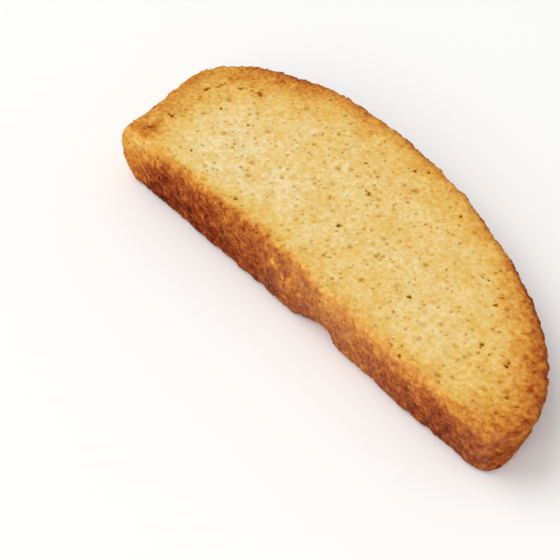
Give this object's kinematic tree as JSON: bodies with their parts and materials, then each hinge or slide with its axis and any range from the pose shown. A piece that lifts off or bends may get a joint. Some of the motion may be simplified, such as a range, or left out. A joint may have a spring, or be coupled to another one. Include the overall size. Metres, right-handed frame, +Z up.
{
  "type": "rusk",
  "caption": "Twice-baked slice of a low wide loaf, lying flat: straight bottom crust, domed top crust, pale porous cut faces.",
  "frame": {"origin": "on the underside, which is one of the two cut faces, below the middle of the part's box", "axes": "+X along the straight crust towards the end where the dome falls away, +Y towards the domed crust, +Z up through the slice's thickness"},
  "size_m": [0.11, 0.0434, 0.0145],
  "materials": {
    "baked_crumb": "matte"
  },
  "bodies": {
    "root": {"rusk": "baked_crumb"}
  },
  "joints": []
}
